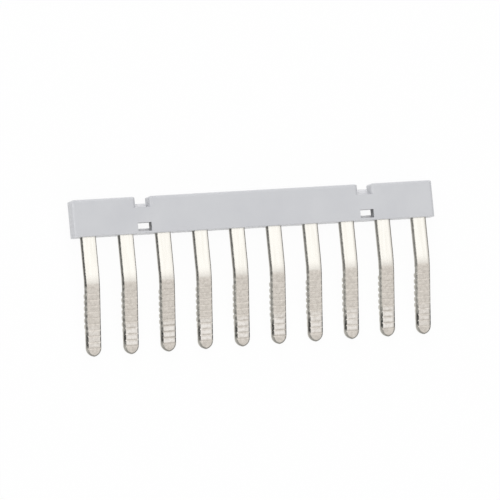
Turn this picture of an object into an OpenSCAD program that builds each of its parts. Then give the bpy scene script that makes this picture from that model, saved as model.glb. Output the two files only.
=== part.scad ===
// Plug-in jumper for a row of rail-mounted terminal blocks: a stamped comb of
// flat prongs whose joining bar lies inside an insulating strip moulded round it.
// The design frame has X along the row, Y to the back and Z up, with Z = 0 at
// the lower face of the strip. The finished part lies on its back, front face
// up, resting on the prong tips and on the rear top edge of the strip.

/* [Row] */
// Number of prongs in the row
poles = 10; // [6:1:20]
// Spacing of the prongs, one terminal block
pitch = 6.15; // [5.6:0.05:8.2]
// Distance from the centre of an outer prong to the end of the strip
end_margin = 2.54; // [2:0.02:5]

/* [Strip walls] */
// Thickness of the front and the rear wall beside the comb
wall = 0.59; // [0.5:0.01:1.5]
// Radius of the upright corners of each block
corner_r = 0.6; // [0.2:0.05:0.7]
// Radius of the edges round the top of each block
edge_r = 0.5; // [0.1:0.05:0.6]
// Radius of the two long lower edges
lower_edge_r = 0.12; // [0.05:0.01:0.3]

/* [Necks] */
// Prongs in each end block, outside the necks
end_poles = 2; // [1:1:2]
// Shift of a neck outwards from the middle between its two prongs
neck_shift = 0.16; // [0:0.02:0.4]
// Width of the gap between two blocks
neck_w = 2.25; // [1.6:0.05:2.6]
// Height of the sill under the front window
sill_h = 0.35; // [0.3:0.05:1]
// Height of the front window and of the rear one
window_h = 1.35; // [0.8:0.05:2]
// Height by which the rear window sits above the front one
window_lift = 0.5; // [0:0.05:0.8]
// Width by which the rear window is wider at each side
window_flare = 0.5; // [0.1:0.05:0.6]
// Depth of the notch from the top of the blocks down to the neck
notch_h = 1.72; // [1.4:0.02:3]
// Height of the ridge along the rear of the left neck
ridge_h = 0.74; // [0.3:0.02:1]
// Height by which the ridge of the right neck stands higher
ridge_step = 0.26; // [0:0.02:0.3]
// Thickness of the ridges
ridge_t = 0.7; // [0.65:0.05:1.2]
// Radius of the ridges' top edges
ridge_r = 0.3; // [0.1:0.05:0.3]

/* [Comb] */
// Thickness of the metal
metal_t = 1.2; // [0.8:0.05:1.6]
// Height of the bar that joins the prongs
bar_h = 1.75; // [1:0.05:3]
// Height of the bar above the front windows
bar_lift = 0.3; // [0.1:0.05:1]
// Plastic left over the bar at the necks
roof_t = 0.32; // [0.2:0.02:1]
// Radius where a prong runs into the bar
root_r = 0.4; // [0.1:0.05:0.6]
// Width of a prong
prong_w = 2.36; // [1.8:0.02:2.8]
// Length of a prong from the strip to its bend
stem_l = 5.83; // [4:0.01:12]
// Angle of the bend, towards the back
bend = 12.1; // [4:0.1:25]
// Radius inside the bend
bend_r = 7.8; // [3:0.1:10]
// Thickness and width that the metal loses in the bend
bend_loss = 0.02; // [0.01:0.01:0.05]
// Length of a prong from its bend to its tip
blade_l = 10.85; // [10.4:0.01:16]
// Thickness of the blade, which is pressed thinner from the back
blade_t = 1.05; // [0.8:0.05:1.2]
// Radius of each side of the pointed tip
tip_r = 1.36; // [1.2:0.01:3]
// Radius of the four long edges of a prong
prong_edge_r = 0.28; // [0.05:0.01:0.4]

/* [Serration] */
// Distance from the bend to the first groove
serration_start = 1.08; // [0.6:0.01:1.2]
// Spacing of the grooves and ridges
serration_pitch = 0.94; // [0.8:0.01:0.96]
// Number of grooves across the front
grooves = 10; // [4:1:10]
// Width of a groove
groove_w = 0.26; // [0.1:0.02:0.4]
// Depth of the groove nearest the bend
groove_first_depth = 0.02; // [0.01:0.01:0.1]
// Depth of the groove nearest the tip
groove_last_depth = 0.04; // [0.02:0.01:0.12]
// Number of ridges across the back
ridges = 8; // [4:1:9]
// Number of those that stand at full height
full_ridges = 6; // [2:1:8]
// Height of a full ridge
tooth_h = 0.35; // [0.1:0.05:0.4]
// Width of a ridge
tooth_w = 0.72; // [0.5:0.02:0.8]
// Distance of the ends of a ridge from the sides of the blade
tooth_inset = 0.06; // [0.02:0.02:0.3]
// Share of the height that each ridge after the full ones keeps
tooth_fade = 0.38; // [0.1:0.02:1]

/* [Fit] */
// Gap that the plastic leaves round the comb, except above its bar
comb_gap = 0.02; // [0.01:0.01:0.1]

/* [Hidden] */
$fn = 64;
// Overrun of a cut past the face that it opens
over = 1;
// Angle by which the bend runs into the straight stretches on both sides
bend_lap = 1;

// The strip, from its lower face upwards
housing_d = metal_t + 2 * comb_gap + 2 * wall;
bar_low = sill_h + window_h + bar_lift;
bar_top = bar_low + bar_h;
neck_top = bar_top + roof_t;
housing_h = neck_top + notch_h;
row_l = (poles - 1) * pitch;
housing_l = row_l + 2 * end_margin;
comb_l = row_l + prong_w;
first_x = -row_l / 2;
neck_x = (poles / 2 - end_poles) * pitch + neck_shift;
// Left and right end of each block
block_ends = [
    [-housing_l / 2, -neck_x - neck_w / 2],
    [-neck_x + neck_w / 2, neck_x - neck_w / 2],
    [neck_x + neck_w / 2, housing_l / 2],
];

// The bend, about an axis behind the prong at the lower end of its stem
bend_axis = [bend_r + metal_t / 2, -stem_l];
blade_back = blade_t - metal_t / 2;
tip_side_r = max(tip_r, prong_w / 2);
tip_h = sqrt(tip_side_r * tip_side_r - pow(tip_side_r - prong_w / 2, 2));

// Depth and height of a point on the bent blade, s below the bend and n behind its middle
function blade_point(s, n) = [
    bend_axis[0] - (bend_axis[0] - n) * cos(bend) + s * sin(bend),
    bend_axis[1] - (bend_axis[0] - n) * sin(bend) - s * cos(bend),
];

// The angle at which the part lies: a line touches the round rear edges of the tips and of the strip's top
tip_centre = blade_point(blade_l - prong_edge_r, blade_back - prong_edge_r);
edge_centre = [housing_d / 2 - edge_r, housing_h - edge_r];
contact_line = edge_centre - tip_centre;
lie = atan2(contact_line[1], contact_line[0]) - acos((prong_edge_r - edge_r) / norm(contact_line));
floor_z = -tip_centre[0] * cos(lie) - tip_centre[1] * sin(lie) - prong_edge_r;

// The two ends of the lying part along Y, and the middle between them
top_end = edge_centre[1] * cos(lie) + edge_centre[0] * sin(lie) + edge_r;
tip_front = blade_point(blade_l - prong_edge_r, prong_edge_r - metal_t / 2);
tip_end = tip_front[1] * cos(lie) - tip_front[0] * sin(lie) - prong_edge_r;
middle_y = (top_end + tip_end) / 2;

// Turns a part from the design frame onto its back, centred on the surface
module lying() {
    translate([0, -middle_y, -floor_z])
        rotate([-90 - lie, 0, 0])
            children();
}

// Extrudes a profile drawn in depth and height along the row
module along_row(length) {
    rotate([90, 0, 90])
        linear_extrude(length, center = true)
            children();
}

// Extrudes a profile drawn in width and height from front to back
module through(depth) {
    rotate([90, 0, 0])
        linear_extrude(depth, center = true)
            children();
}

// What a corner loses when it is rounded, for a corner at the origin that points away from inward
module corner_cut(r, inward) {
    difference() {
        square(2 * r, center = true);
        translate(r * inward)
            circle(r);
    }
}

// Section of the strip: a box with round upper and lower edges
module housing_section() {
    difference() {
        translate([-housing_d / 2, 0])
            square([housing_d, housing_h]);
        for (side = [-1, 1]) {
            translate([side * housing_d / 2, 0])
                corner_cut(lower_edge_r, [-side, 1]);
            translate([side * housing_d / 2, housing_h])
                corner_cut(edge_r, [-side, -1]);
        }
    }
}

// One block of the strip between the given ends, with round upright corners and top edges
module block(ends) {
    difference() {
        linear_extrude(housing_h)
            difference() {
                translate([ends[0], -housing_d / 2])
                    square([ends[1] - ends[0], housing_d]);
                for (i = [0, 1], side = [-1, 1])
                    translate([ends[i], side * housing_d / 2])
                        corner_cut(corner_r, [1 - 2 * i, -side]);
            }
        for (i = [0, 1])
            through(housing_d + 2 * over)
                translate([ends[i], housing_h])
                    corner_cut(edge_r, [1 - 2 * i, -1]);
    }
}

// The neck between two blocks: a low bar with a ridge of the given height along its rear
module neck(x, height) {
    translate([x, 0, 0])
        along_row(neck_w + 2 * (corner_r + wall))
            union() {
                translate([-housing_d / 2 - over, -over])
                    square([housing_d + 2 * over, neck_top + over]);
                difference() {
                    translate([housing_d / 2 - ridge_t, 0])
                        square([ridge_t, neck_top + height]);
                    for (side = [0, 1])
                        translate([housing_d / 2 - side * ridge_t, neck_top + height])
                            corner_cut(ridge_r, [2 * side - 1, -1]);
                }
            }
}

// The windows of one neck, a narrow one in the front wall and a wider, higher one in the rear
module neck_windows(x) {
    translate([x - neck_w / 2, -housing_d / 2 - over, sill_h])
        cube([neck_w, housing_d / 2 + over, window_h]);
    translate([x - neck_w / 2 - window_flare, 0, sill_h + window_lift])
        cube([neck_w + 2 * window_flare, housing_d / 2 + over, window_h]);
}

// The round inner corners where the prongs run into the bar, moved out by the gap
module root_corners(gap) {
    for (i = [0 : poles - 2], side = [0, 1])
        translate([
            first_x + (i + side) * pitch + (1 - 2 * side) * (prong_w / 2 + gap),
            bar_low - gap,
        ])
            corner_cut(root_r, [1 - 2 * side, -1]);
}

// The room that the comb takes up in the strip, with the gap round it
module comb_room() {
    room_w = prong_w + 2 * comb_gap;
    through(metal_t + 2 * comb_gap)
        union() {
            translate([-comb_l / 2 - comb_gap, bar_low - comb_gap])
                square([comb_l + 2 * comb_gap, bar_h + comb_gap]);
            for (i = [0 : poles - 1])
                translate([first_x + i * pitch - room_w / 2, -over])
                    square([room_w, bar_low + over]);
            root_corners(comb_gap);
        }
}

// Section of a prong of the given width and thickness, with round edges
module prong_section(w, t) {
    difference() {
        square([w, t], center = true);
        for (i = [-1, 1], j = [-1, 1])
            translate([i * w / 2, j * t / 2])
                corner_cut(prong_edge_r, [-i, -j]);
    }
}

// Turns what is drawn as if the prong were straight round the bend
module past_bend() {
    translate([0, bend_axis[0], bend_axis[1]])
        rotate([bend, 0, 0])
            translate([0, -bend_axis[0], 0])
                children();
}

// The round stretch of a prong, which ends inside the straight ones
module prong_bend() {
    translate([0, bend_axis[0], bend_axis[1]])
        rotate([-90, 0, 0])
            rotate([0, 90, 0])
                rotate([0, 0, -bend_lap])
                    rotate_extrude(angle = bend + 2 * bend_lap)
                        translate([bend_axis[0], 0])
                            rotate(90)
                                prong_section(prong_w - bend_loss, metal_t - bend_loss);
}

// A disc whose edge forms one side of the pointed tip, its rims round like the long edges
module tip_disc(side) {
    translate([side * (tip_side_r - prong_w / 2), 0, tip_h - blade_l])
        rotate([-90, 0, 0])
            rotate_extrude()
                difference() {
                    translate([0, -metal_t / 2])
                        square([tip_side_r, blade_t]);
                    for (face = [0, 1])
                        translate([tip_side_r, face * blade_t - metal_t / 2])
                            corner_cut(prong_edge_r, [-1, 1 - 2 * face]);
                }
}

// The pointed end of a prong, below the straight edges of its blade
module prong_tip() {
    intersection() {
        tip_disc(-1);
        tip_disc(1);
        translate([-prong_w, -metal_t, -blade_l - over])
            cube([2 * prong_w, 2 * metal_t, tip_h + over]);
    }
}

// Radius of an arc with the given chord and height
function arc_r(chord, height) = (height * height + chord * chord / 4) / (2 * height);

// Height of a ridge and depth of a groove, counted from the bend
function ridge_height(i) = tooth_h * pow(tooth_fade, max(0, i - full_ridges + 1));
function groove_depth(i) =
    groove_first_depth + (groove_last_depth - groove_first_depth) * i / (grooves - 1);

// Distance of a groove below the bend, where the ridges lie half a step further
function groove_at(i) = serration_start + i * serration_pitch;
function ridge_at(i) = groove_at(i + 0.5);

// One rounded ridge across the back of the blade
module ridge(i) {
    r = arc_r(tooth_w, ridge_height(i));
    along_row(prong_w - 2 * tooth_inset)
        translate([blade_back, -ridge_at(i)])
            intersection() {
                translate([ridge_height(i) - r, 0])
                    circle(r);
                translate([-tooth_h, -tooth_w])
                    square([2 * tooth_h + over, 2 * tooth_w]);
            }
}

// One shallow groove across the front of the blade
module groove(i) {
    r = arc_r(groove_w, groove_depth(i));
    along_row(prong_w + 2 * over)
        translate([groove_depth(i) - r - metal_t / 2, -groove_at(i)])
            circle(r);
}

// The serrated part of a prong, drawn straight down from the bend
module blade() {
    difference() {
        union() {
            translate([0, (blade_t - metal_t) / 2, tip_h - blade_l])
                linear_extrude(blade_l - tip_h)
                    prong_section(prong_w, blade_t);
            prong_tip();
            for (i = [0 : ridges - 1])
                ridge(i);
        }
        for (i = [0 : grooves - 1])
            groove(i);
    }
}

// One prong: a straight stem that runs up into the bar, the bend and the serrated blade
module prong() {
    translate([0, 0, -stem_l])
        linear_extrude(stem_l + bar_low + bar_h / 2)
            prong_section(prong_w, metal_t);
    prong_bend();
    past_bend()
        blade();
}

// The bar that joins the prongs, with round inner corners at their roots
module bar() {
    translate([-comb_l / 2, -metal_t / 2, bar_low])
        cube([comb_l, metal_t, bar_h]);
    through(metal_t)
        root_corners(0);
}

// The moulded strip of light grey polyamide
module insulating_housing() {
    color("#cccdd0")
        lying()
            difference() {
                intersection() {
                    along_row(housing_l + 2 * over)
                        housing_section();
                    union() {
                        for (ends = block_ends)
                            block(ends);
                        neck(-neck_x, ridge_h);
                        neck(neck_x, ridge_h + ridge_step);
                    }
                }
                comb_room();
                for (side = [-1, 1])
                    neck_windows(side * neck_x);
            }
}

// The stamped comb of tin-plated copper
module bridge_comb() {
    color("#ccc6be")
        lying()
            union() {
                bar();
                for (i = [0 : poles - 1])
                    translate([first_x + i * pitch, 0, 0])
                        prong();
            }
}

insulating_housing();
bridge_comb();
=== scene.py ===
"""Looks of a terminal block jumper: a plated bridge comb with a housing moulded round it.

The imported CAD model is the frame. Its two pieces keep their shape here and get their finishes,
and a plain studio with the photograph's camera stands round them.
"""

import logging
import math
from dataclasses import dataclass
from enum import Enum
from typing import Any

import bmesh
import bpy
from mathutils import Matrix, Vector

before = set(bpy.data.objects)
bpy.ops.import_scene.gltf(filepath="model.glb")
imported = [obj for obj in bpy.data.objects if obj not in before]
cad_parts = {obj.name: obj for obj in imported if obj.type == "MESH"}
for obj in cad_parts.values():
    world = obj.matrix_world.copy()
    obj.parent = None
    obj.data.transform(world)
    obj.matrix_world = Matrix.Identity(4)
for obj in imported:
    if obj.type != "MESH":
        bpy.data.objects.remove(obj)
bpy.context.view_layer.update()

LOG = logging.getLogger("jumper")
MM = 0.001
# Half a step of a pattern, where the middle of a prong or of a land lies.
HALF_STEP = 0.5


class Node(Enum):
    """The CAD pieces that carry over."""

    HOUSING = "insulating_housing"
    COMB = "bridge_comb"


def linear(code: str) -> tuple[float, float, float, float]:
    """Turns an sRGB hex value to linear.

    Args:
        code: Six hex digits, with or without a leading hash.

    Returns:
        Linear red, green and blue, and an alpha of 1.
    """
    digits = code.lstrip("#")
    channels = [int(digits[i:i + 2], 16) / 255 for i in (0, 2, 4)]
    straight = [c / 12.92 if c <= 0.04045 else ((c + 0.055) / 1.055) ** 2.4 for c in channels]
    return (*straight, 1.0)


def per_size(size_mm: float) -> float:
    """Gives the texture scale at which one feature is about size_mm across."""
    return 1.0 / (size_mm * MM)


def add_node(
    tree: bpy.types.NodeTree,
    kind: str,
    settings: dict[str, Any] | None = None,
    values: dict[Any, Any] | None = None,
    links: dict[Any, bpy.types.NodeSocket] | None = None,
) -> bpy.types.Node:
    """Adds one node with its settings, input values and links.

    Some nodes repeat the names of their inputs, and those inputs go by number.

    Args:
        tree: The node tree that gets the node.
        kind: The node's type name.
        settings: Properties of the node itself.
        values: Unlinked values, by input name or number.
        links: Output sockets of other nodes, by the input name or number they feed.

    Returns:
        The new node.
    """
    made = tree.nodes.new(kind)
    for name, value in (settings or {}).items():
        setattr(made, name, value)
    for key, value in (values or {}).items():
        made.inputs[key].default_value = value
    for key, socket in (links or {}).items():
        tree.links.new(socket, made.inputs[key])
    return made


def new_material(name: str) -> tuple[bpy.types.Material, bpy.types.NodeTree, bpy.types.Node]:
    """Makes an empty node material.

    Args:
        name: The material's name.

    Returns:
        The material, its node tree and its output node.
    """
    material = bpy.data.materials.new(name)
    material.use_nodes = True
    tree = material.node_tree
    tree.nodes.clear()
    return material, tree, add_node(tree, "ShaderNodeOutputMaterial")


@dataclass(frozen=True)
class MouldedPolyamide:
    """Polyamide 6.6, injection moulded in a spark-eroded tool.

    It is a pale neutral grey with a fine even grain, so highlights are broad and soft, and
    faint flow marks keep long faces from looking painted. The side walls of the windows get
    painted shade, and the faces set back from the front get painted light.
    """

    name: str = "moulded_polyamide"
    tone: str = "#cccdd0"
    flow_tone: str = "#c6c7cb"
    roughness: float = 0.36
    roughness_spread: float = 0.05
    ior: float = 1.53
    # The tool's grain is near 0.05 mm, drawn coarser here so that it shows.
    grain_mm: float = 0.16
    grain_depth_mm: float = 0.004
    grain_strength: float = 0.35
    # Flow marks, and the stretch of their noise over which the tone changes.
    flow_mm: float = 7.0
    flow_range: tuple[float, float] = (0.35, 0.75)
    # How squarely a face looks along a direction to count as facing that way.
    facing: float = 0.8
    # The side walls of the two windows get painted shade: a dark tone standing for the shade deep
    # in the windows. Their middles are given along X and Y, then how far they reach, and where
    # the painted shade ends above the sill.
    wall_tone: str = "#434447"
    window_mm: tuple[float, float] = (18.61, 7.5)
    window_reach_mm: tuple[float, float] = (1.75, 1.2)
    wall_shade_fade_mm: tuple[float, float] = (6.5, 7.5)
    # The ridges of the necks and the steps halfway through the windows get painted light: a paler
    # tone where those recesses would stand in shade. They are given by the way they face, their
    # middle depth and how far they reach.
    set_back_painted_light: str = "#e9e9eb"
    front: tuple[float, float, float] = (0.0, 0.0705, 0.9975)
    set_back_mm: float = 1.76
    set_back_reach_mm: float = 0.35

    def set_back(
        self, tree: bpy.types.NodeTree, coords: bpy.types.Node
    ) -> bpy.types.NodeSocket:
        """Finds the faces set back from the front of the strip, which get painted light.

        Args:
            tree: The material's node tree.
            coords: The node that gives points and normals in the piece's own frame.

        Returns:
            A mask, 1 on those faces.
        """
        depth, turned = (
            add_node(
                tree, "ShaderNodeVectorMath", {"operation": "DOT_PRODUCT"}, {1: self.front},
                {0: coords.outputs[name]},
            )
            for name in ("Object", "Normal")
        )
        near = add_node(
            tree, "ShaderNodeMath", {"operation": "COMPARE"},
            {1: self.set_back_mm * MM, 2: self.set_back_reach_mm * MM},
            {0: depth.outputs["Value"]},
        )
        facing = add_node(
            tree, "ShaderNodeMath", {"operation": "GREATER_THAN"}, {1: self.facing},
            {0: turned.outputs["Value"]},
        )
        return add_node(
            tree, "ShaderNodeMath", {"operation": "MULTIPLY"},
            links={0: near.outputs[0], 1: facing.outputs[0]},
        ).outputs[0]

    def window_wall_shade(
        self, tree: bpy.types.NodeTree, coords: bpy.types.Node
    ) -> bpy.types.NodeSocket:
        """Finds the side walls of the windows, which get painted shade.

        Args:
            tree: The material's node tree.
            coords: The node that gives points and normals in the piece's own frame.

        Returns:
            A mask of the painted shade, 1 on those walls.
        """
        spot, turned = (
            add_node(
                tree, "ShaderNodeSeparateXYZ",
                links={0: add_node(
                    tree, "ShaderNodeVectorMath", {"operation": "ABSOLUTE"},
                    links={0: coords.outputs[name]},
                ).outputs[0]},
            )
            for name in ("Object", "Normal")
        )
        mask = add_node(
            tree, "ShaderNodeMath", {"operation": "GREATER_THAN"}, {1: self.facing},
            {0: turned.outputs["X"]},
        ).outputs[0]
        for axis, middle, reach in zip("XY", self.window_mm, self.window_reach_mm):
            near = add_node(
                tree, "ShaderNodeMath", {"operation": "COMPARE"},
                {1: middle * MM, 2: reach * MM}, {0: spot.outputs[axis]},
            )
            mask = add_node(
                tree, "ShaderNodeMath", {"operation": "MULTIPLY"},
                links={0: mask, 1: near.outputs[0]},
            ).outputs[0]
        wall_shade_fade = add_node(
            tree, "ShaderNodeMapRange",
            values={1: self.wall_shade_fade_mm[0] * MM, 2: self.wall_shade_fade_mm[1] * MM},
            links={0: spot.outputs["Y"]},
        )
        return add_node(
            tree, "ShaderNodeMath", {"operation": "MULTIPLY"},
            links={0: mask, 1: wall_shade_fade.outputs[0]},
        ).outputs[0]

    def build(self) -> bpy.types.Material:
        """Makes the material.

        Returns:
            The finished material.
        """
        material, tree, out = new_material(self.name)
        coords = add_node(tree, "ShaderNodeTexCoord")
        place = coords.outputs["Object"]
        flow = add_node(
            tree, "ShaderNodeTexNoise",
            values={"Scale": per_size(self.flow_mm), "Detail": 3.0, "Roughness": 0.55},
            links={"Vector": place},
        )
        tone = add_node(
            tree, "ShaderNodeMix", {"data_type": "RGBA"},
            {6: linear(self.tone), 7: linear(self.flow_tone)},
            {0: add_node(
                tree, "ShaderNodeMapRange",
                values={1: self.flow_range[0], 2: self.flow_range[1]},
                links={0: flow.outputs["Fac"]},
            ).outputs[0]},
        )
        # The window walls get painted shade and the set-back faces painted light.
        tone = add_node(
            tree, "ShaderNodeMix", {"data_type": "RGBA"}, {7: linear(self.wall_tone)},
            {0: self.window_wall_shade(tree, coords), 6: tone.outputs[2]},
        )
        tone = add_node(
            tree, "ShaderNodeMix", {"data_type": "RGBA"}, {7: linear(self.set_back_painted_light)},
            {0: self.set_back(tree, coords), 6: tone.outputs[2]},
        )
        grain = add_node(
            tree, "ShaderNodeTexNoise",
            values={"Scale": per_size(self.grain_mm), "Detail": 2.0, "Roughness": 0.6},
            links={"Vector": place},
        )
        rough = add_node(
            tree, "ShaderNodeMapRange",
            values={
                3: self.roughness - self.roughness_spread,
                4: self.roughness + self.roughness_spread,
            },
            links={0: grain.outputs["Fac"]},
        )
        bump = add_node(
            tree, "ShaderNodeBump",
            values={"Strength": self.grain_strength, "Distance": self.grain_depth_mm * MM},
            links={"Height": grain.outputs["Fac"]},
        )
        shader = add_node(
            tree, "ShaderNodeBsdfPrincipled", values={"IOR": self.ior},
            links={
                "Base Color": tone.outputs[2],
                "Roughness": rough.outputs[0],
                "Normal": bump.outputs[0],
            },
        )
        tree.links.new(shader.outputs[0], out.inputs["Surface"])
        return material


@dataclass(frozen=True)
class TinnedCopper:
    """Half-hard copper strip, stamped, bent, serrated and bright tin plated.

    Its broad faces mirror the studio softly with a warm white, with faint rolling lines along
    the stem. The sheared sides are rougher: a dark broken band under the front edge, then a
    brighter band the punch has smoothed, and painted shade darkens them further, so each prong
    reads as a flat bar with a dark rim. Painted shade also lies beside each prong's right edge.
    The serrated blade is duller and spotted, its grooves carry lines of painted shade, and use
    has burnished patches between its last grooves.
    """

    name: str = "tinned_copper"
    stem_tone: str = "#fdfaf3"
    blade_tone: str = "#eae3da"
    spotted_tone: str = "#d8d1c8"
    land_tone: str = "#fffaf4"
    groove_shade_tone: str = "#a39c93"
    # The broken and torn tones are the sheared sides' rough finish, darkened with painted shade.
    broken_and_shade_tone: str = "#2a2927"
    torn_and_shade_tone: str = "#73726d"
    smoothed_tone: str = "#c8c5bd"
    stem_roughness: float = 0.22
    shear_roughness: float = 0.45
    groove_roughness: float = 0.4
    # How far a face's normal turns outwards where the rim begins and where it is full; the rim
    # takes the sheared sides' tones with their painted shade. It reaches further in on the blade,
    # and most on the nose, and less on the rolled right side.
    stem_rim: tuple[float, float] = (0.3, 0.8)
    blade_rim: tuple[float, float] = (0.2, 0.66)
    nose_rim: tuple[float, float] = (0.0, 0.3)
    right_rim: float = 0.75
    nose_mm: tuple[float, float] = (5.6, 7.0)
    tip_mm: tuple[float, float] = (9.7, 9.9)
    # The punch rolls the right edge of a prong over, and the face beside it gets painted shade,
    # given as the distance from the middle of the prong where that begins and where it is full. It
    # grows along the row, and shows less on the blade.
    rolled_edge_shade_tone: str = "#b5b0a8"
    rolled_mm: tuple[float, float] = (0.55, 1.05)
    rolled_share: tuple[float, float] = (0.1, 1.0)
    rolled_blade: float = 0.25
    # The front faces of stem and blade, and how far their middle planes lie from the origin.
    stem_face: tuple[float, float, float] = (0.0, 0.0705, 0.9975)
    stem_middle_mm: float = 2.019
    blade_face: tuple[float, float, float] = (0.0, -0.1402, 0.9901)
    blade_middle_mm: float = 2.095
    # Where the broken band of a sheared side begins, from the middle plane, how much further
    # forward it begins on the nose, and the stretch where the ridges break it up.
    broken_mm: tuple[float, float] = (-0.25, 0.05)
    broken_step_mm: float = 0.2
    ridged_mm: tuple[float, float, float, float] = (-0.3, 0.3, 7.0, 7.8)
    # How far past each groove the ridges leave most of the broken band and half the width of
    # that spot, in steps of the grooves, and how much they leave there and between.
    whole_past: float = 0.59
    whole_half: tuple[float, float] = (0.1, 0.4)
    ridged_share: tuple[float, float] = (0.86, 0.62)
    # How coarse the broken band is, the stretch of its noise over which it goes from broken to
    # torn, and how much more painted shade darkens it on the nose.
    fracture_mm: float = 0.4
    fracture_range: tuple[float, float] = (0.35, 0.65)
    nose_painted_shade: float = 0.075
    # How much of the broken band and its painted shade the first and the last prong of the row
    # have, and all noses, where it fades before the tip and what is left of it there.
    broken_share: tuple[float, float] = (1.0, 0.7)
    nose_share: float = 0.95
    broken_end_mm: tuple[float, float] = (9.0, 9.7)
    tip_broken: float = 0.45
    # The blade's direction and the start of it, measured along that direction.
    blade_way: tuple[float, float, float] = (0.0, -0.9901, -0.1402)
    blade_start_mm: float = 1.027
    # Where the bright plating of the stem fades, slowly in the bend and then in one step.
    fade_mm: tuple[float, float] = (-1.9, -0.9)
    step_mm: tuple[float, float] = (-0.8, -0.15)
    fade_share: float = 0.3
    # The row of prongs, and the grooves across a blade.
    prongs: int = 10
    pitch_mm: float = 6.15
    groove_pitch_mm: float = 0.94
    first_groove_mm: float = 1.08
    # Half the width of a groove's line of painted shade, and of the strip along it that stays
    # unworn, then how dark the lines are off and on the worn stretch, from where to where a
    # higher draw for the prong brings them out, and what is left of the wear beside them.
    groove_half_mm: tuple[float, float] = (0.04, 0.2)
    dip_half_mm: tuple[float, float] = (0.0, 0.42)
    groove_shade_share: tuple[float, float] = (0.15, 0.42)
    groove_shade_draw: tuple[float, float] = (0.25, 0.85)
    dip_wear: float = 0.1
    # How far from the middle of a prong these lines of painted shade begin to fade in and are
    # full, how far and how coarsely that wanders, what is left of them outside, and from where to
    # where a higher draw for the prong makes them run right across.
    mark_mm: tuple[float, float] = (1.0, 0.5)
    wander_mm: float = 1.6
    wander_size_mm: float = 0.7
    mark_left: float = 0.3
    shade_across_draw: tuple[float, float] = (0.6, 0.78)
    # The stretch that use has worn, the press that wears it most, the least and the most wear,
    # what is left of it in the pits, and the seed of the draw for each prong's wear and painted
    # groove shade.
    worn_from_mm: tuple[float, float] = (5.6, 7.0)
    worn_to_mm: tuple[float, float] = (9.05, 9.7)
    worn_press: float = 0.6
    worn_share: tuple[float, float] = (0.55, 1.5)
    pit_wear: float = 0.45
    wear_and_shade_seed: int = 4321
    # Speckle of the plating, drawn coarser than its true size so that it shows.
    speckle_mm: float = 0.2
    speckle_depth_mm: float = 0.006
    speckle_strength: float = 0.4
    speckle_roughness: float = 0.12
    # Spots on the blade's matt plating.
    spot_mm: float = 0.42
    spot_range: tuple[float, float] = (0.3, 0.7)
    # Rolling lines of the strip that show through along the stem, and how long they are drawn.
    line_tone: str = "#f7f4ec"
    line_mm: float = 0.3
    line_stretch: float = 0.05
    line_range: tuple[float, float] = (0.4, 0.7)

    def reach(
        self, tree: bpy.types.NodeTree, place: bpy.types.NodeSocket,
        way: tuple[float, float, float], start_mm: float,
    ) -> bpy.types.NodeSocket:
        """Measures how far a point lies along a direction, past a start.

        Args:
            tree: The material's node tree.
            place: The point in the piece's own frame.
            way: The direction, as a unit vector.
            start_mm: The distance from the origin that counts as nought.

        Returns:
            The distance in millimetres.
        """
        run = add_node(
            tree, "ShaderNodeVectorMath", {"operation": "DOT_PRODUCT"}, {1: way}, {0: place},
        )
        return add_node(
            tree, "ShaderNodeMath", {"operation": "MULTIPLY_ADD"},
            {1: 1 / MM, 2: -start_mm}, {0: run.outputs["Value"]},
        ).outputs[0]

    def stretch(
        self, tree: bpy.types.NodeTree, run: bpy.types.NodeSocket, ends: tuple[float, float]
    ) -> bpy.types.NodeSocket:
        """Fades from 0 to 1 over a stretch of a distance or a noise.

        Args:
            tree: The material's node tree.
            run: The distance or the noise.
            ends: Where the fade begins and where it is full.

        Returns:
            The faded value.
        """
        return add_node(
            tree, "ShaderNodeMapRange", {"interpolation_type": "SMOOTHSTEP"},
            {1: ends[0], 2: ends[1]}, {0: run},
        ).outputs[0]

    def rim(
        self, tree: bpy.types.NodeTree, normal: bpy.types.NodeSocket, run: bpy.types.NodeSocket,
        on_blade: bpy.types.NodeSocket, nose: bpy.types.NodeSocket,
    ) -> bpy.types.NodeSocket:
        """Finds the faces and edges that turn away from the broad faces.

        Args:
            tree: The material's node tree.
            normal: The surface's normal in the piece's own frame.
            run: The distance down the blade.
            on_blade: A mask of the blade.
            nose: A mask of the nose.

        Returns:
            A mask, 0 on the broad faces and 1 on the sheared ones.
        """
        turned = add_node(tree, "ShaderNodeSeparateXYZ", links={0: normal})
        left, right = (
            add_node(
                tree, "ShaderNodeMath", {"operation": "MULTIPLY"}, {1: share},
                {0: turned.outputs["X"]},
            )
            for share in (-1.0, self.right_rim)
        )
        sideways = add_node(
            tree, "ShaderNodeMath", {"operation": "MAXIMUM"},
            links={0: left.outputs[0], 1: right.outputs[0]},
        )
        endways = add_node(
            tree, "ShaderNodeVectorMath", {"operation": "DOT_PRODUCT"}, {1: self.blade_way},
            {0: normal},
        )
        endways = add_node(
            tree, "ShaderNodeMath", {"operation": "MULTIPLY"},
            links={0: endways.outputs["Value"], 1: self.stretch(tree, run, self.tip_mm)},
        )
        outwards = add_node(
            tree, "ShaderNodeMath", {"operation": "MAXIMUM"},
            links={0: sideways.outputs[0], 1: endways.outputs[0]},
        )
        start, full = (
            add_node(
                tree, "ShaderNodeMix", {"data_type": "FLOAT"}, {3: tip},
                {0: nose, 2: add_node(
                    tree, "ShaderNodeMapRange", values={3: stem, 4: blade}, links={0: on_blade},
                ).outputs[0]},
            ).outputs[0]
            for stem, blade, tip in zip(self.stem_rim, self.blade_rim, self.nose_rim)
        )
        return add_node(
            tree, "ShaderNodeMapRange", {"interpolation_type": "SMOOTHSTEP"},
            links={0: outwards.outputs[0], 1: start, 2: full},
        ).outputs[0]

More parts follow.
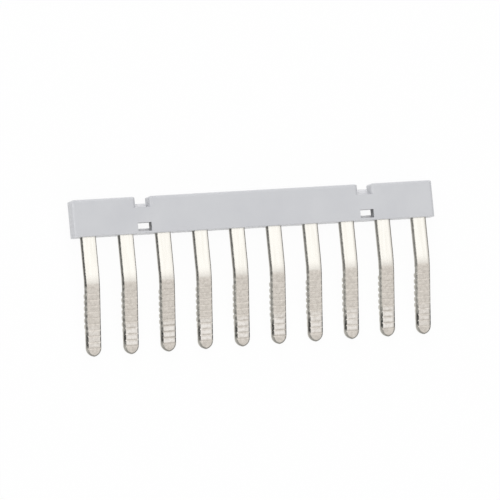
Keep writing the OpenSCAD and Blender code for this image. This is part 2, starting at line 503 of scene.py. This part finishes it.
    def sheared(
        self, tree: bpy.types.NodeTree, place: bpy.types.NodeSocket, count: bpy.types.NodeSocket,
        run: bpy.types.NodeSocket, nose: bpy.types.NodeSocket,
    ) -> bpy.types.NodeSocket:
        """Colours the sheared sides, broken in front and smoothed behind, with painted shade.

        Args:
            tree: The material's node tree.
            place: The point in the piece's own frame.
            count: The count along the row.
            run: The distance down the blade.
            nose: A mask of the nose.

        Returns:
            The colour.
        """
        depth = add_node(
            tree, "ShaderNodeMath", {"operation": "MAXIMUM"},
            links={
                0: self.reach(tree, place, self.stem_face, self.stem_middle_mm),
                1: self.reach(tree, place, self.blade_face, self.blade_middle_mm),
            },
        )
        depth = add_node(
            tree, "ShaderNodeMath", {"operation": "MULTIPLY_ADD"}, {1: -self.broken_step_mm},
            {0: nose, 2: depth.outputs[0]},
        )
        ridged = add_node(
            tree, "ShaderNodeMath", {"operation": "MULTIPLY"},
            links={
                0: self.stretch(tree, run, self.ridged_mm[:2]),
                1: self.stretch(tree, run, self.ridged_mm[:1:-1]),
            },
        )
        off_spot = self.off_groove(tree, run, self.whole_past)
        left = add_node(
            tree, "ShaderNodeMapRange",
            values={3: self.ridged_share[0], 4: self.ridged_share[1]},
            links={0: self.stretch(tree, off_spot, self.whole_half)},
        )
        broken = add_node(
            tree, "ShaderNodeMix", {"data_type": "FLOAT"}, {2: 1.0},
            {0: ridged.outputs[0], 3: left.outputs[0]},
        ).outputs[0]
        ended = add_node(
            tree, "ShaderNodeMapRange", values={3: self.tip_broken, 4: 1.0},
            links={0: self.stretch(tree, run, self.broken_end_mm[::-1])},
        )
        kept = add_node(
            tree, "ShaderNodeMix", {"data_type": "FLOAT"}, {3: self.nose_share},
            {0: nose, 2: self.along_row(tree, count, self.broken_share)},
        )
        for share in (
            self.stretch(tree, depth.outputs[0], self.broken_mm), ended.outputs[0],
            kept.outputs[0],
        ):
            broken = add_node(
                tree, "ShaderNodeMath", {"operation": "MULTIPLY"}, links={0: broken, 1: share},
            ).outputs[0]
        fracture = add_node(
            tree, "ShaderNodeTexNoise",
            values={"Scale": per_size(self.fracture_mm), "Detail": 1.0, "Roughness": 0.5},
            links={"Vector": place},
        )
        shaded = add_node(
            tree, "ShaderNodeMath", {"operation": "MULTIPLY_ADD"}, {1: -self.nose_painted_shade},
            {0: nose, 2: fracture.outputs["Fac"]},
        )
        torn = add_node(
            tree, "ShaderNodeMix", {"data_type": "RGBA"},
            {6: linear(self.broken_and_shade_tone), 7: linear(self.torn_and_shade_tone)},
            {0: self.stretch(tree, shaded.outputs[0], self.fracture_range)},
        )
        return add_node(
            tree, "ShaderNodeMix", {"data_type": "RGBA"}, {6: linear(self.smoothed_tone)},
            {0: broken, 7: torn.outputs[2]},
        ).outputs[2]

    def counted(
        self, tree: bpy.types.NodeTree, place: bpy.types.NodeSocket
    ) -> bpy.types.NodeSocket:
        """Counts prongs along the row, with half a step at the middle of each.

        Args:
            tree: The material's node tree.
            place: The point in the piece's own frame.

        Returns:
            The count, in steps of the prongs.
        """
        across = add_node(tree, "ShaderNodeSeparateXYZ", links={0: place})
        return add_node(
            tree, "ShaderNodeMath", {"operation": "MULTIPLY_ADD"},
            {1: 1 / (self.pitch_mm * MM), 2: self.wear_and_shade_seed + self.prongs / 2},
            {0: across.outputs["X"]},
        ).outputs[0]

    def along_row(
        self, tree: bpy.types.NodeTree, count: bpy.types.NodeSocket, ends: tuple[float, float]
    ) -> bpy.types.NodeSocket:
        """Changes a value evenly along the row.

        Args:
            tree: The material's node tree.
            count: The count along the row.
            ends: The value at the first prong and at the last.

        Returns:
            The value.
        """
        return add_node(
            tree, "ShaderNodeMapRange",
            values={
                1: self.wear_and_shade_seed, 2: self.wear_and_shade_seed + self.prongs, 3: ends[0], 4: ends[1],
            },
            links={0: count},
        ).outputs[0]

    def rolled(
        self, tree: bpy.types.NodeTree, count: bpy.types.NodeSocket,
        on_blade: bpy.types.NodeSocket, nose: bpy.types.NodeSocket,
    ) -> bpy.types.NodeSocket:
        """Finds the face beside the right edge of a prong, on its stem and nose, for painted shade.

        Args:
            tree: The material's node tree.
            count: The count along the row.
            on_blade: A mask of the blade.
            nose: A mask of the nose.

        Returns:
            A mask of the painted shade there.
        """
        step = add_node(tree, "ShaderNodeMath", {"operation": "FRACT"}, links={0: count})
        ends = [HALF_STEP + reach / self.pitch_mm for reach in self.rolled_mm]
        shown = add_node(
            tree, "ShaderNodeMapRange", values={3: 1.0, 4: self.rolled_blade}, links={0: on_blade},
        )
        shown = add_node(
            tree, "ShaderNodeMath", {"operation": "MAXIMUM"}, links={0: shown.outputs[0], 1: nose},
        )
        mask = self.stretch(tree, step.outputs[0], (ends[0], ends[1]))
        for share in (self.along_row(tree, count, self.rolled_share), shown.outputs[0]):
            mask = add_node(
                tree, "ShaderNodeMath", {"operation": "MULTIPLY"}, links={0: mask, 1: share},
            ).outputs[0]
        return mask

    def wear_and_shade_draw(
        self, tree: bpy.types.NodeTree, count: bpy.types.NodeSocket
    ) -> bpy.types.NodeSocket:
        """Draws one number from 0 to 1 for each prong, for its wear and its painted groove shade.

        Args:
            tree: The material's node tree.
            count: The count along the row.

        Returns:
            The number.
        """
        whole = add_node(tree, "ShaderNodeMath", {"operation": "FLOOR"}, links={0: count})
        return add_node(
            tree, "ShaderNodeTexWhiteNoise", {"noise_dimensions": "1D"},
            links={"W": whole.outputs[0]},
        ).outputs["Value"]

    def burnished(
        self, tree: bpy.types.NodeTree, run: bpy.types.NodeSocket, wear_and_shade_draw: bpy.types.NodeSocket
    ) -> bpy.types.NodeSocket:
        """Finds the stretch of the blade that use has burnished.

        Args:
            tree: The material's node tree.
            run: The distance down the blade.
            wear_and_shade_draw: The prong's draw, for how hard it was pressed in.

        Returns:
            A mask of how bright the lands are.
        """
        worn = add_node(
            tree, "ShaderNodeMath", {"operation": "MULTIPLY"},
            links={
                0: self.stretch(tree, run, self.worn_from_mm),
                1: self.stretch(tree, run, self.worn_to_mm[::-1]),
            },
        )
        share = add_node(
            tree, "ShaderNodeMapRange",
            values={2: self.worn_press, 3: self.worn_share[0], 4: self.worn_share[1]},
            links={0: wear_and_shade_draw},
        )
        return add_node(
            tree, "ShaderNodeMath", {"operation": "MULTIPLY"},
            links={0: worn.outputs[0], 1: share.outputs[0]},
        ).outputs[0]

    def off_groove(
        self, tree: bpy.types.NodeTree, run: bpy.types.NodeSocket, past: float = 0.0
    ) -> bpy.types.NodeSocket:
        """Measures how far the nearest groove is, or the nearest spot past one.

        Args:
            tree: The material's node tree.
            run: The distance down the blade.
            past: How far past its groove each spot lies, in steps of the grooves.

        Returns:
            The distance in steps of the grooves, from 0 to a half.
        """
        step = add_node(
            tree, "ShaderNodeMath", {"operation": "MULTIPLY_ADD"},
            {1: 1 / self.groove_pitch_mm, 2: -self.first_groove_mm / self.groove_pitch_mm - past},
            {0: run},
        )
        return add_node(
            tree, "ShaderNodeMath", {"operation": "PINGPONG"}, {1: HALF_STEP},
            {0: step.outputs[0]},
        ).outputs[0]

    def marked(
        self, tree: bpy.types.NodeTree, place: bpy.types.NodeSocket, count: bpy.types.NodeSocket,
        wear_and_shade_draw: bpy.types.NodeSocket,
    ) -> bpy.types.NodeSocket:
        """Finds how far across a prong the painted shade lines of its grooves reach.

        Args:
            tree: The material's node tree.
            place: The point in the piece's own frame.
            count: The count along the row.
            wear_and_shade_draw: The prong's draw, which sets its painted groove shade.

        Returns:
            The share of each mark that is there.
        """
        step = add_node(tree, "ShaderNodeMath", {"operation": "FRACT"}, links={0: count})
        off = add_node(
            tree, "ShaderNodeMath", {"operation": "SUBTRACT"}, {1: HALF_STEP},
            {0: step.outputs[0]},
        )
        off = add_node(tree, "ShaderNodeMath", {"operation": "ABSOLUTE"}, links={0: off.outputs[0]})
        wander = add_node(
            tree, "ShaderNodeTexNoise",
            values={"Scale": per_size(self.wander_size_mm), "Detail": 1.0, "Roughness": 0.5},
            links={"Vector": place},
        )
        off = add_node(
            tree, "ShaderNodeMath", {"operation": "MULTIPLY_ADD"},
            {1: self.wander_mm / self.pitch_mm}, {0: wander.outputs["Fac"], 2: off.outputs[0]},
        )
        ends = [(reach + self.wander_mm / 2) / self.pitch_mm for reach in self.mark_mm]
        whole = add_node(
            tree, "ShaderNodeMath", {"operation": "MAXIMUM"},
            links={
                0: self.stretch(tree, off.outputs[0], (ends[0], ends[1])),
                1: self.stretch(tree, wear_and_shade_draw, self.shade_across_draw),
            },
        )
        return add_node(
            tree, "ShaderNodeMapRange", values={3: self.mark_left, 4: 1.0},
            links={0: whole.outputs[0]},
        ).outputs[0]

    def bladed(
        self, tree: bpy.types.NodeTree, run: bpy.types.NodeSocket
    ) -> bpy.types.NodeSocket:
        """Finds where the bright plating of the stem has given way to the blade's.

        Args:
            tree: The material's node tree.
            run: The distance down the blade.

        Returns:
            A mask, 0 on the stem and 1 on the blade.
        """
        faded = add_node(
            tree, "ShaderNodeMath", {"operation": "MULTIPLY"}, {1: self.fade_share},
            {0: self.stretch(tree, run, self.fade_mm)},
        )
        return add_node(
            tree, "ShaderNodeMath", {"operation": "MULTIPLY_ADD"}, {1: 1 - self.fade_share},
            {0: self.stretch(tree, run, self.step_mm), 2: faded.outputs[0]},
        ).outputs[0]

    def plated(
        self, tree: bpy.types.NodeTree, place: bpy.types.NodeSocket,
        on_blade: bpy.types.NodeSocket,
    ) -> tuple[bpy.types.NodeSocket, bpy.types.NodeSocket]:
        """Colours the plating, with rolling lines on the stem and spots on the blade.

        Args:
            tree: The material's node tree.
            place: The point in the piece's own frame.
            on_blade: A mask of the blade.

        Returns:
            The colour, and a mask of the pits that make the spots.
        """
        drawn = add_node(
            tree, "ShaderNodeVectorMath", {"operation": "MULTIPLY"},
            {1: (1.0, self.line_stretch, self.line_stretch)}, {0: place},
        )
        lined, pitted = (
            self.stretch(
                tree,
                add_node(
                    tree, "ShaderNodeTexNoise",
                    values={"Scale": per_size(size_mm), "Detail": 2.0, "Roughness": 0.5},
                    links={"Vector": spot},
                ).outputs["Fac"],
                ends,
            )
            for size_mm, spot, ends in (
                (self.line_mm, drawn.outputs[0], self.line_range),
                (self.spot_mm, place, self.spot_range),
            )
        )
        stem, blade = (
            add_node(
                tree, "ShaderNodeMix", {"data_type": "RGBA"},
                {6: linear(plain), 7: linear(marred)}, {0: mask},
            ).outputs[2]
            for plain, marred, mask in (
                (self.stem_tone, self.line_tone, lined),
                (self.blade_tone, self.spotted_tone, pitted),
            )
        )
        tone = add_node(
            tree, "ShaderNodeMix", {"data_type": "RGBA"}, links={0: on_blade, 6: stem, 7: blade},
        )
        return tone.outputs[2], pitted

    def face(
        self, tree: bpy.types.NodeTree, place: bpy.types.NodeSocket, count: bpy.types.NodeSocket,
        run: bpy.types.NodeSocket, on_blade: bpy.types.NodeSocket,
    ) -> tuple[bpy.types.NodeSocket, bpy.types.NodeSocket]:
        """Colours the broad faces: the plating, its burnished lands and the grooves' painted shade.

        Args:
            tree: The material's node tree.
            place: The point in the piece's own frame.
            count: The count along the row.
            run: The distance down the blade.
            on_blade: A mask of the blade.

        Returns:
            The colour, and a mask of the grooves.
        """
        tone, pitted = self.plated(tree, place, on_blade)
        wear_and_shade_draw = self.wear_and_shade_draw(tree, count)
        burnished = self.burnished(tree, run, wear_and_shade_draw)
        off_groove = self.off_groove(tree, run)
        shown = add_node(
            tree, "ShaderNodeMath", {"operation": "MULTIPLY"},
            links={0: on_blade, 1: self.marked(tree, place, count, wear_and_shade_draw)},
        )
        groove, dip = (
            add_node(
                tree, "ShaderNodeMath", {"operation": "MULTIPLY"},
                links={
                    0: self.stretch(
                        tree, off_groove,
                        (half[1] / self.groove_pitch_mm, half[0] / self.groove_pitch_mm),
                    ),
                    1: shown.outputs[0],
                },
            ).outputs[0]
            for half in (self.groove_half_mm, self.dip_half_mm)
        )
        land = burnished
        for mask, left in ((dip, self.dip_wear), (pitted, self.pit_wear)):
            share = add_node(
                tree, "ShaderNodeMapRange", values={3: 1.0, 4: left}, links={0: mask},
            )
            land = add_node(
                tree, "ShaderNodeMath", {"operation": "MULTIPLY"},
                links={0: land, 1: share.outputs[0]},
            ).outputs[0]
        # Painted shade along the grooves, stronger on the worn stretch and on prongs drawn higher.
        groove_shade_line = add_node(
            tree, "ShaderNodeMapRange",
            values={3: self.groove_shade_share[0], 4: self.groove_shade_share[1]}, links={0: burnished},
        ).outputs[0]
        for share in (self.stretch(tree, wear_and_shade_draw, self.groove_shade_draw), groove):
            groove_shade_line = add_node(
                tree, "ShaderNodeMath", {"operation": "MULTIPLY"}, links={0: groove_shade_line, 1: share},
            ).outputs[0]
        for mask, other in ((land, self.land_tone), (groove_shade_line, self.groove_shade_tone)):
            tone = add_node(
                tree, "ShaderNodeMix", {"data_type": "RGBA"}, {7: linear(other)},
                {0: mask, 6: tone},
            ).outputs[2]
        return tone, groove

    def build(self) -> bpy.types.Material:
        """Makes the material.

        Returns:
            The finished material.
        """
        material, tree, out = new_material(self.name)
        coords = add_node(tree, "ShaderNodeTexCoord")
        place = coords.outputs["Object"]
        run = self.reach(tree, place, self.blade_way, self.blade_start_mm)
        nose = self.stretch(tree, run, self.nose_mm)
        count = self.counted(tree, place)
        on_blade = self.bladed(tree, run)
        rim = self.rim(tree, coords.outputs["Normal"], run, on_blade, nose)
        face, groove = self.face(tree, place, count, run, on_blade)
        # The right edges get painted shade, and the rim the sheared tones with their painted shade.
        edged = add_node(
            tree, "ShaderNodeMix", {"data_type": "RGBA"}, {7: linear(self.rolled_edge_shade_tone)},
            {0: self.rolled(tree, count, on_blade, nose), 6: face},
        )
        tone = add_node(
            tree, "ShaderNodeMix", {"data_type": "RGBA"},
            links={
                0: rim,
                6: edged.outputs[2],
                7: self.sheared(tree, place, count, run, nose),
            },
        )
        speckle = add_node(
            tree, "ShaderNodeTexNoise",
            values={"Scale": per_size(self.speckle_mm), "Detail": 3.0, "Roughness": 0.6},
            links={"Vector": place},
        )
        groove_rough = add_node(
            tree, "ShaderNodeMapRange",
            values={3: self.stem_roughness, 4: self.groove_roughness}, links={0: groove},
        )
        face_rough = add_node(
            tree, "ShaderNodeMix", {"data_type": "FLOAT"}, {3: self.shear_roughness},
            {0: rim, 2: groove_rough.outputs[0]},
        )
        rough = add_node(
            tree, "ShaderNodeMath", {"operation": "MULTIPLY_ADD"}, {1: self.speckle_roughness},
            {0: speckle.outputs["Fac"], 2: face_rough.outputs[0]},
        )
        bump = add_node(
            tree, "ShaderNodeBump",
            values={"Strength": self.speckle_strength, "Distance": self.speckle_depth_mm * MM},
            links={"Height": speckle.outputs["Fac"]},
        )
        shader = add_node(
            tree, "ShaderNodeBsdfPrincipled", values={"Metallic": 1.0},
            links={
                "Base Color": tone.outputs[2],
                "Roughness": rough.outputs[0],
                "Normal": bump.outputs[0],
            },
        )
        tree.links.new(shader.outputs[0], out.inputs["Surface"])
        return material


@dataclass(frozen=True)
class StudioPaper:
    """Matt white background paper, which keeps a pale shadow of what lies on it."""

    name: str = "studio_paper"
    tone: str = "#f7f7f7"
    glow_share: float = 0.94

    def build(self) -> bpy.types.Material:
        """Makes the material.

        Returns:
            The finished material.
        """
        material, tree, out = new_material(self.name)
        paper = add_node(tree, "ShaderNodeBsdfDiffuse", values={"Color": linear(self.tone)})
        white = add_node(tree, "ShaderNodeEmission", values={"Strength": 1.0})
        path = add_node(tree, "ShaderNodeLightPath")
        seen = path.outputs["Is Camera Ray"]
        for ray in ("Is Glossy Ray", "Is Transmission Ray"):
            seen = add_node(
                tree, "ShaderNodeMath", {"operation": "MAXIMUM"},
                links={0: seen, 1: path.outputs[ray]},
            ).outputs[0]
        share = add_node(
            tree, "ShaderNodeMath", {"operation": "MULTIPLY"}, {1: self.glow_share}, {0: seen},
        )
        mixed = add_node(
            tree, "ShaderNodeMixShader",
            links={0: share.outputs[0], 1: paper.outputs[0], 2: white.outputs[0]},
        )
        tree.links.new(mixed.outputs[0], out.inputs["Surface"])
        return material


@dataclass
class CadPiece:
    """A piece of the CAD model, which keeps its shape and gets a finish."""

    node: Node
    finish: MouldedPolyamide | TinnedCopper
    slot: str

    def dress(self, nodes: dict[str, bpy.types.Object]) -> None:
        """Gives the piece its finish.

        Args:
            nodes: The CAD pieces by name.
        """
        piece = nodes[self.node.value]
        piece.material_slots[0].material = self.finish.build()
        LOG.info("%s in %s", piece.name, self.finish.name)


@dataclass
class InsulatingHousing(CadPiece):
    """The strip moulded round the comb's bar."""

    node: Node = Node.HOUSING
    finish: MouldedPolyamide = MouldedPolyamide()
    slot: str = "polyamide_grey"


@dataclass
class BridgeComb(CadPiece):
    """The stamped and bent comb with its ten prongs."""

    node: Node = Node.COMB
    finish: TinnedCopper = TinnedCopper()
    slot: str = "plated_copper"


@dataclass(frozen=True)
class SoftBox:
    """A rectangular lamp behind a diffuser, in metres.

    It may be kept from lighting matt surfaces, or from showing in gloss.
    """

    name: str
    centre: tuple[float, float, float]
    aim: tuple[float, float, float]
    width: float
    depth: float
    watts: float
    lights: bool = True
    mirrored: bool = True

    def build(self) -> None:
        """Hangs the lamp and turns it to its aim."""
        lamp = bpy.data.lights.new(self.name, "AREA")
        lamp.shape = "RECTANGLE"
        lamp.size = self.width
        lamp.size_y = self.depth
        lamp.energy = self.watts
        holder = bpy.data.objects.new(self.name, lamp)
        bpy.context.scene.collection.objects.link(holder)
        holder.location = self.centre
        way = Vector(self.aim) - Vector(self.centre)
        holder.rotation_euler = way.to_track_quat("-Z", "Y").to_euler()
        holder.visible_camera = False
        holder.visible_diffuse = self.lights
        holder.visible_glossy = self.mirrored


# The key hangs over the far side of the strip. The others are weaker and stand round the part:
# three brighten only the plastic, and the card on the left only shows in the metal.
MIDDLE = (0.0, 0.0, 0.0)
LAMPS = (
    SoftBox("key_box", (0.10, 0.39, 0.60), (0.10, 0.39, 0.0), width=1.2, depth=0.9, watts=0.88),
    SoftBox(
        "rim_box", (-0.10, 0.85, 0.25), MIDDLE, width=0.6, depth=0.4, watts=2.0, mirrored=False,
    ),
    SoftBox(
        "left_box", (-0.45, 0.10, 0.65), MIDDLE, width=0.6, depth=0.6, watts=0.5, mirrored=False,
    ),
    SoftBox(
        "fill_box", (0.25, -0.65, 0.25), MIDDLE, width=0.6, depth=0.4, watts=1.0, mirrored=False,
    ),
    SoftBox(
        "left_card", (-0.75, 0.0, 0.30), MIDDLE, width=0.5, depth=0.5, watts=2.0, lights=False,
    ),
)


@dataclass
class Studio:
    """The floor, the lamps and the room's own light."""

    floor_radius: float = 6.0
    floor_sides: int = 96
    ceiling_tone: str = "#e8e8e8"
    wall_tone: str = "#c4c4c4"
    right_tone: str = "#7c7c7c"
    seen_tone: str = "#ffffff"
    # How high a direction points where the walls are full, and where the ceiling is.
    wall_height: tuple[float, float] = (0.2, 0.55)
    # How far a direction points to the right where that wall begins, and where it is full.
    right_wall: tuple[float, float] = (0.6, 0.85)

    def lay_floor(self) -> None:
        """Lays the paper on which the part rests."""
        mesh = bpy.data.meshes.new("paper_floor")
        shape = bmesh.new()
        bmesh.ops.create_circle(
            shape, cap_ends=True, segments=self.floor_sides, radius=self.floor_radius
        )
        shape.to_mesh(mesh)
        shape.free()
        floor = bpy.data.objects.new("paper_floor", mesh)
        bpy.context.scene.collection.objects.link(floor)
        mesh.materials.append(StudioPaper().build())

    def light_room(self) -> None:
        """Sets the room: a pale ceiling, grey walls and a dark one on the right.

        The camera itself sees plain white in their place.
        """
        world = bpy.data.worlds.new("studio_room")
        world.use_nodes = True
        tree = world.node_tree
        tree.nodes.clear()
        way = add_node(tree, "ShaderNodeTexCoord")
        side = add_node(tree, "ShaderNodeSeparateXYZ", links={0: way.outputs["Generated"]})
        path = add_node(tree, "ShaderNodeLightPath")
        high, right = (
            add_node(
                tree, "ShaderNodeMapRange", {"interpolation_type": "SMOOTHSTEP"},
                {1: ends[0], 2: ends[1]}, {0: side.outputs[axis]},
            ).outputs[0]
            for axis, ends in (("Z", self.wall_height), ("X", self.right_wall))
        )
        tone = add_node(
            tree, "ShaderNodeMix", {"data_type": "RGBA"},
            {6: linear(self.wall_tone), 7: linear(self.ceiling_tone)}, {0: high},
        )
        for mask, other in (
            (right, self.right_tone), (path.outputs["Is Camera Ray"], self.seen_tone),
        ):
            tone = add_node(
                tree, "ShaderNodeMix", {"data_type": "RGBA"}, {7: linear(other)},
                {0: mask, 6: tone.outputs[2]},
            )
        room = add_node(tree, "ShaderNodeBackground", links={"Color": tone.outputs[2]})
        out = add_node(tree, "ShaderNodeOutputWorld", links={"Surface": room.outputs[0]})
        out.is_active_output = True
        bpy.context.scene.world = world

    def build(self) -> None:
        """Sets up floor, room and lamps."""
        self.lay_floor()
        self.light_room()
        for lamp in LAMPS:
            lamp.build()
        LOG.info("studio set")


@dataclass
class PhotoCamera:
    """The photograph's camera, seen from the strip as it stands with its prongs down.

    The part lies on its back, so the strip's own upright leans into the floor's plane.
    """

    # How far the lying strip's prongs are pitched against the floor, then how far the camera
    # stands to the left of the strip's front and below it, and its roll.
    lie_deg: float = 4.042
    left_deg: float = 21.494
    below_deg: float = 5.11
    roll_deg: float = 5.507
    distance: float = 0.7716
    focal_px: float = 4955.3
    image_px: int = 500
    sensor_mm: float = 36.0
    clip_start: float = 0.01
    aim_mm: tuple[float, float, float] = (-1.113, 2.815, 1.643)

    def axes(self) -> tuple[Vector, Vector, Vector]:
        """Works out where the camera's right, up and back point.

        Returns:
            The three unit vectors in the row frame.
        """
        left, below = math.radians(self.left_deg), math.radians(self.below_deg)
        standing = Matrix.Rotation(-math.pi / 2 - math.radians(self.lie_deg), 3, "X")
        back = Vector((
            -math.sin(left) * math.cos(below),
            -math.cos(left) * math.cos(below),
            -math.sin(below),
        ))
        right = Vector((math.cos(left), -math.sin(left), 0.0))
        up = back.cross(right)
        roll = Matrix.Rotation(-math.radians(self.roll_deg), 3, back)
        return standing @ roll @ right, standing @ roll @ up, standing @ back

    def build(self) -> None:
        """Places the camera and makes it the scene's."""
        right, up, back = self.axes()
        lens = bpy.data.cameras.new("photo_camera")
        lens.sensor_width = self.sensor_mm
        lens.lens = self.focal_px * self.sensor_mm / self.image_px
        lens.clip_start = self.clip_start
        holder = bpy.data.objects.new("photo_camera", lens)
        bpy.context.scene.collection.objects.link(holder)
        turn = Matrix((right, up, back)).transposed().to_4x4()
        spot = Vector(self.aim_mm) * MM + back * self.distance
        holder.matrix_world = Matrix.Translation(spot) @ turn
        bpy.context.scene.camera = holder
        LOG.info("camera set")


def main() -> None:
    """Dresses the pieces, then sets the studio and the camera."""
    logging.basicConfig(level=logging.INFO, format="%(name)s: %(message)s")
    bpy.context.scene.view_settings.view_transform = "Standard"
    for piece in (InsulatingHousing(), BridgeComb()):
        piece.dress(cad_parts)
    Studio().build()
    PhotoCamera().build()


if __name__ == "__main__":
    main()
